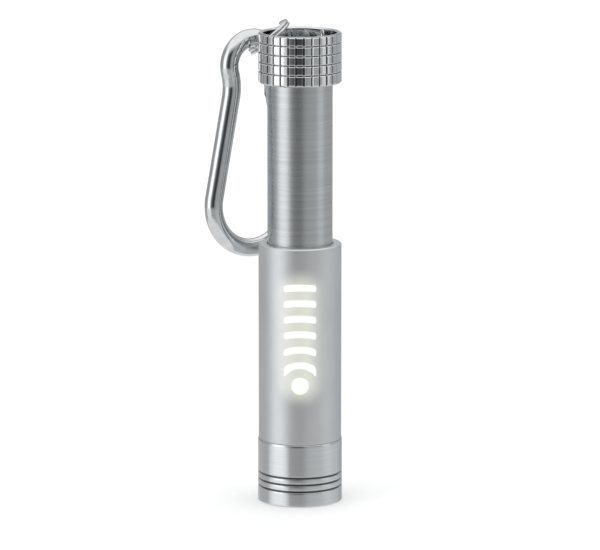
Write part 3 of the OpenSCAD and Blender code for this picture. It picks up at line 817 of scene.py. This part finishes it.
CARABINER_TURN = math.radians(33)
along = np.array([math.cos(CARABINER_TURN), math.sin(CARABINER_TURN), 0])
through = np.array([-math.sin(CARABINER_TURN), math.cos(CARABINER_TURN), 0])
upward = np.array([0.0, 0.0, 1.0])
EYE_R, WAIST_X, WAIST_R, WIDE_R, BAR_R = 5.8, 5.2, 12.0, 9.9, 2.0
CARABINER_L = 50.0
HANG_GAP = 0.38
EYE_SHIFT = -0.26
COIL_GAP = 0.02
TAB_GAP = 2.15
ring_low = ring_at - RING_R * ring_across
eye_at = ((ring_low @ along + EYE_SHIFT) * along + (CAP_R + BAR_R + HANG_GAP) * through
          + (ring_low[2] + BAR_R + 2 * WIRE_R + HANG_GAP + COIL_GAP - EYE_R) * upward)
wide_at = np.array([0, EYE_R + WIDE_R + 2 * BAR_R - CARABINER_L])
waist_at = np.array([WAIST_X + WAIST_R, -math.sqrt((EYE_R + WAIST_R) ** 2 - (WAIST_X + WAIST_R) ** 2)])
eye_end = math.atan2(-waist_at[1], waist_at[0])
to_wide = wide_at - waist_at
leg_angle = math.atan2(to_wide[1], to_wide[0]) + math.asin((WAIST_R + WIDE_R) / np.hypot(*to_wide))
leg_side = np.array([math.sin(leg_angle), -math.cos(leg_angle)])
leg_top = waist_at + WAIST_R * leg_side
leg_foot = wide_at - WIDE_R * leg_side
tilt = leg_angle + math.pi / 2


def arc(centre, radius, start, end, spacing=0.35):
    """Points and tangents along an arc about a centre, a set spacing apart."""
    n = max(2, int(abs(end - start) * radius / spacing))
    a = np.linspace(start, end, n, endpoint=False)[:, None]
    direction = np.sign(end - start)
    return (centre + radius * np.concatenate([np.cos(a), np.sin(a)], 1),
            direction * np.concatenate([-np.sin(a), np.cos(a)], 1))


def line(start, end, spacing=0.8):
    """Points and tangents along a straight stretch."""
    n = max(2, int(np.hypot(*(end - start)) / spacing))
    t = np.linspace(0, 1, n, endpoint=False)[:, None]
    return start + (end - start) * t, np.tile((end - start) / np.hypot(*(end - start)), (n, 1))


def in_plane(flat):
    """Carries points from the carabiner's own plane to where it hangs."""
    return eye_at + flat[:, :1] * along + flat[:, 1:] * upward


flip = np.array([-1, 1])
tab_gap = TAB_GAP / WAIST_R
stretches = [
    arc(waist_at, WAIST_R, math.pi + tilt - tab_gap, math.pi - eye_end),
    arc(np.zeros(2), EYE_R, -eye_end, math.pi + eye_end),
    arc(waist_at * flip, WAIST_R, eye_end, -tilt),
    line(leg_top * flip, leg_foot * flip),
    arc(wide_at, WIDE_R, math.pi - tilt, 2 * math.pi + tilt),
    (leg_foot[None], np.array([[math.cos(leg_angle + math.pi), math.sin(leg_angle + math.pi)]]))]
bar_path = np.concatenate([s[0] for s in stretches])
bar_run = np.concatenate([s[1] for s in stretches])


def end_rings(path, run, radius, soft):
    """Adds rings at a path's ends that round its edges by a soft radius: at angle a from the end face
    the ring lies soft (1 - sin a) in from the end and has radius less soft (1 - cos a)."""
    a = np.linspace(0, math.pi / 2, 5)
    radii = radius * np.ones(len(path))
    shrink = radius - soft * (1 - np.sin(a))
    inward = soft * (1 - np.cos(a))
    head = path[0] + inward[:, None] * run[0]
    tail = path[-1] - inward[::-1, None] * run[-1]
    return (np.concatenate([head, path[1:-1], tail]),
            np.concatenate([np.tile(run[0], (5, 1)), run[1:-1], np.tile(run[-1], (5, 1))]),
            np.concatenate([shrink, radii[1:-1], shrink[::-1]]))


soft_path, soft_run, soft_radii = end_rings(bar_path, bar_run, BAR_R, 0.3)
bar_out = soft_run[:, 1:] * along - soft_run[:, :1] * upward
bar_mesh = swept("carabiner_bar", in_plane(soft_path), bar_out, through + 0 * bar_out, soft_radii, 40)
piece("carabiner_bar", bar_mesh, nickel, "carabiner", "nickel_plate", "carabiner_frame")

# The tab for the rivet and the half-round nose are forged in one with the bar
hinge_along = math.cos(tilt) * along + math.sin(tilt) * upward
hinge_up = -math.sin(tilt) * along + math.cos(tilt) * upward
hinge_at = in_plane(leg_top[None])[0]
TAB_T, TAB_R = 1.4, 1.56
TAB_WAIST, TAB_TOP = 1.6, 3.1
LAP_L = 2.4
leg_l = np.hypot(*(leg_foot - leg_top))


def slab(name, outline, thickness, soft):
    """A flat plate at the hinge: its outline in the hinge's own axes, swept through its thickness with
    softened edges."""
    centre = outline.mean(0)
    a = np.linspace(0, math.pi / 2, 4)
    inset = np.concatenate([soft * (1 - np.sin(a)), soft * (1 - np.sin(a[::-1]))])
    level = np.concatenate([-thickness / 2 + soft * (1 - np.cos(a)),
                            thickness / 2 - soft * (1 - np.cos(a[::-1]))])
    spread = np.linalg.norm(outline - centre, axis=1)
    rows = [centre + (outline - centre) * (1 - s / spread)[:, None] for s in inset]
    rows = [centre + 0 * outline] + rows + [centre + 0 * outline]
    level = np.concatenate([level[:1], level, level[-1:]])
    points = np.stack([hinge_at + r[:, :1] * hinge_along + r[:, 1:] * hinge_up + z * through
                       for r, z in zip(rows, level)])
    return grid_mesh(name, points * MM, closed=False)


bend_round = np.linspace(math.pi, 2 * math.pi, 25)
tab_outline = np.concatenate([
    TAB_R * np.stack([np.cos(bend_round), np.sin(bend_round)], -1),
    [[TAB_R, TAB_WAIST], [TAB_R, TAB_TOP], [0, TAB_TOP], [-TAB_R, TAB_TOP], [-TAB_R, TAB_WAIST]]])
piece("carabiner_tab", slab("carabiner_tab", tab_outline, TAB_T, 0.12), nickel, "carabiner", "nickel_plate",
      "carabiner_frame")

half_turn = np.linspace(-math.pi / 2, math.pi / 2, 25)
FLAT = 0.03
half_round = np.stack([np.maximum(np.cos(half_turn), FLAT), 0.999 * np.sin(half_turn)], -1)
flat_side = np.stack([FLAT + 0 * half_turn[:12], np.linspace(0.95, -0.95, 12)], -1)
half_round = np.concatenate([half_round, flat_side])
NOSE_R = 1.8
nose_y = np.array([-leg_l - 0.5, -leg_l + LAP_L - 0.75, -leg_l + LAP_L - 0.45, -leg_l + LAP_L - 0.25,
                   -leg_l + LAP_L - 0.2])
nose_scale = np.array([NOSE_R, NOSE_R, 0.97 * NOSE_R, 0.9 * NOSE_R, 0.8 * NOSE_R])
nose_path = hinge_at + nose_y[:, None] * hinge_up
nose_mesh = swept("carabiner_nose", nose_path, hinge_along + 0 * nose_path, through + 0 * nose_path,
                  nose_scale, section=half_round)
piece("carabiner_nose", nose_mesh, nickel, "carabiner", "nickel_plate", "carabiner_frame")


# ---- Gate and its rivet --------------------------------------------------------------------------
# The gate is a drawn tube with its cheeks pressed over the tab. A rivet with two flat heads holds it,
# and the spring and plunger inside push it shut.

def softened(node, edge_mm):
    """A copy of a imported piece's mesh with its points merged, its faces smoothed and its edges softened."""
    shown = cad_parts[node]
    mesh = shown.data.copy()
    mesh.transform(shown.matrix_world)
    mesh.materials.clear()
    soft = piece(node + "_softened", tidy_mesh(mesh, 30), nickel, "gate", "nickel_plate", node)
    bevel = soft.modifiers.new("soft_edges", "BEVEL")
    bevel.width = edge_mm * MM
    bevel.segments = 3
    bevel.limit_method = "ANGLE"
    bevel.angle_limit = math.radians(35)
    bevel.harden_normals = True


softened("gate", 0.1)
softened("gate_rivet", 0.06)
